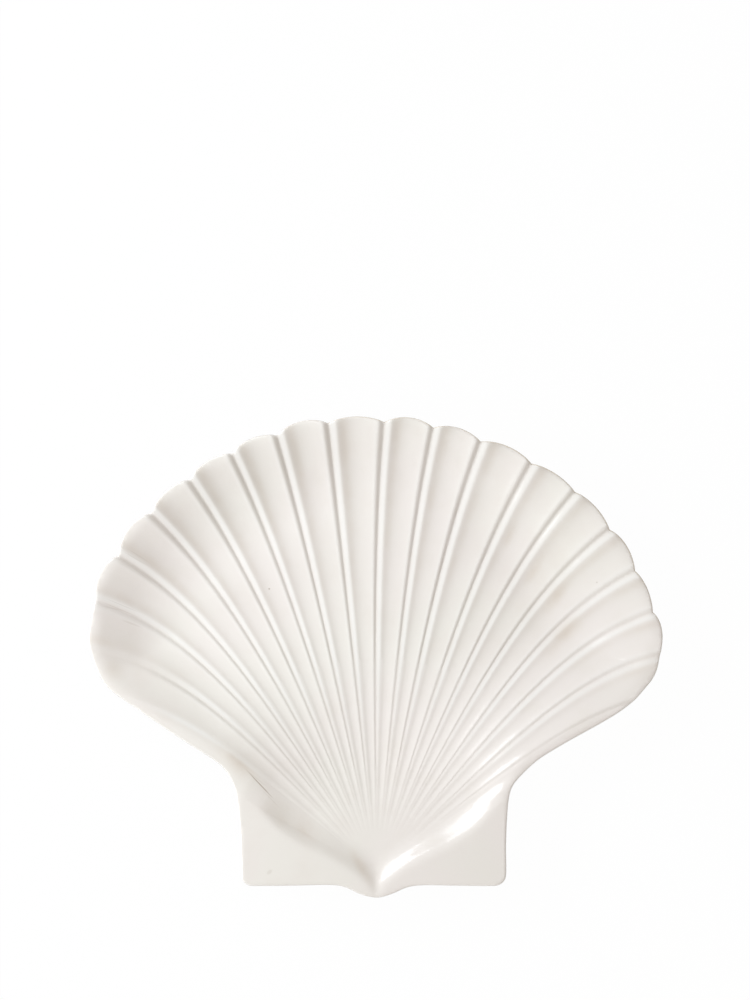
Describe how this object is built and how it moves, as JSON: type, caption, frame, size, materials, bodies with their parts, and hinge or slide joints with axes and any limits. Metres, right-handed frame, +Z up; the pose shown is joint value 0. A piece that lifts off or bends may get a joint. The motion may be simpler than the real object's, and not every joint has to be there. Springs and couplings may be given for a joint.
{
  "type": "serving platter",
  "caption": "Shallow serving platter shaped like a scallop shell, with fanned flutes, a scalloped rim and flat square ears.",
  "frame": {"origin": "centre of the bounding box in plan, at the bottom of the foot", "axes": "+X across the platter from the left ear to the right ear, +Y from the beak to the scalloped rim, +Z up out of the bowl"},
  "size_m": [0.32, 0.2682, 0.03],
  "materials": {
    "glaze": "glossy warm white glaze"
  },
  "bodies": {
    "root": {"platter": "glaze"}
  },
  "joints": []
}
